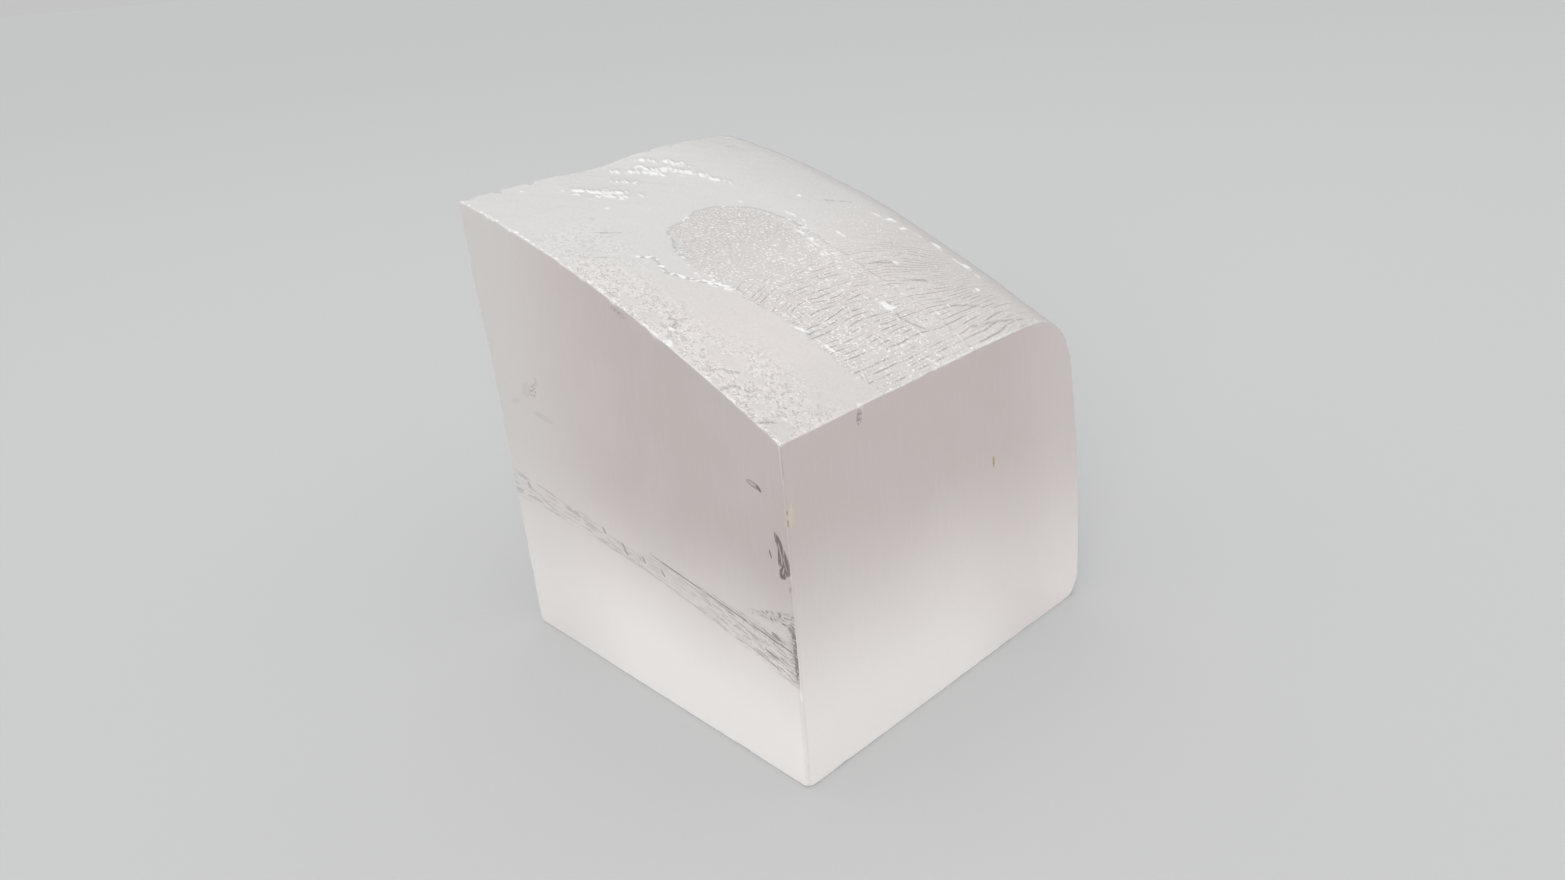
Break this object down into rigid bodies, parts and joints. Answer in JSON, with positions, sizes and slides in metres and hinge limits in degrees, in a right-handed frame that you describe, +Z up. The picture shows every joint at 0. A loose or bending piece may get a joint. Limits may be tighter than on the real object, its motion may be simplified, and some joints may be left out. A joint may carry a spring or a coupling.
{
  "type": "frosted display block",
  "caption": "Solid frosted translucent block with a curved cast top that slopes to the front, flat ground sides, a rounded outer wall and a flat base.",
  "frame": {"origin": "middle of the base, on the plane that the block rests on", "axes": "+Z up; the two flat ground faces look towards -Y and +X and meet at the lowest upright edge; the rough sawn face looks towards -X; the cast outer wall looks towards +Y"},
  "size_m": [0.101, 0.0996, 0.1124],
  "materials": {
    "frosted_body": "frosted, satin on the ground faces, wet-looking and rippled on the cast top"
  },
  "bodies": {
    "root": {"frosted_block": "frosted_body"}
  },
  "joints": []
}
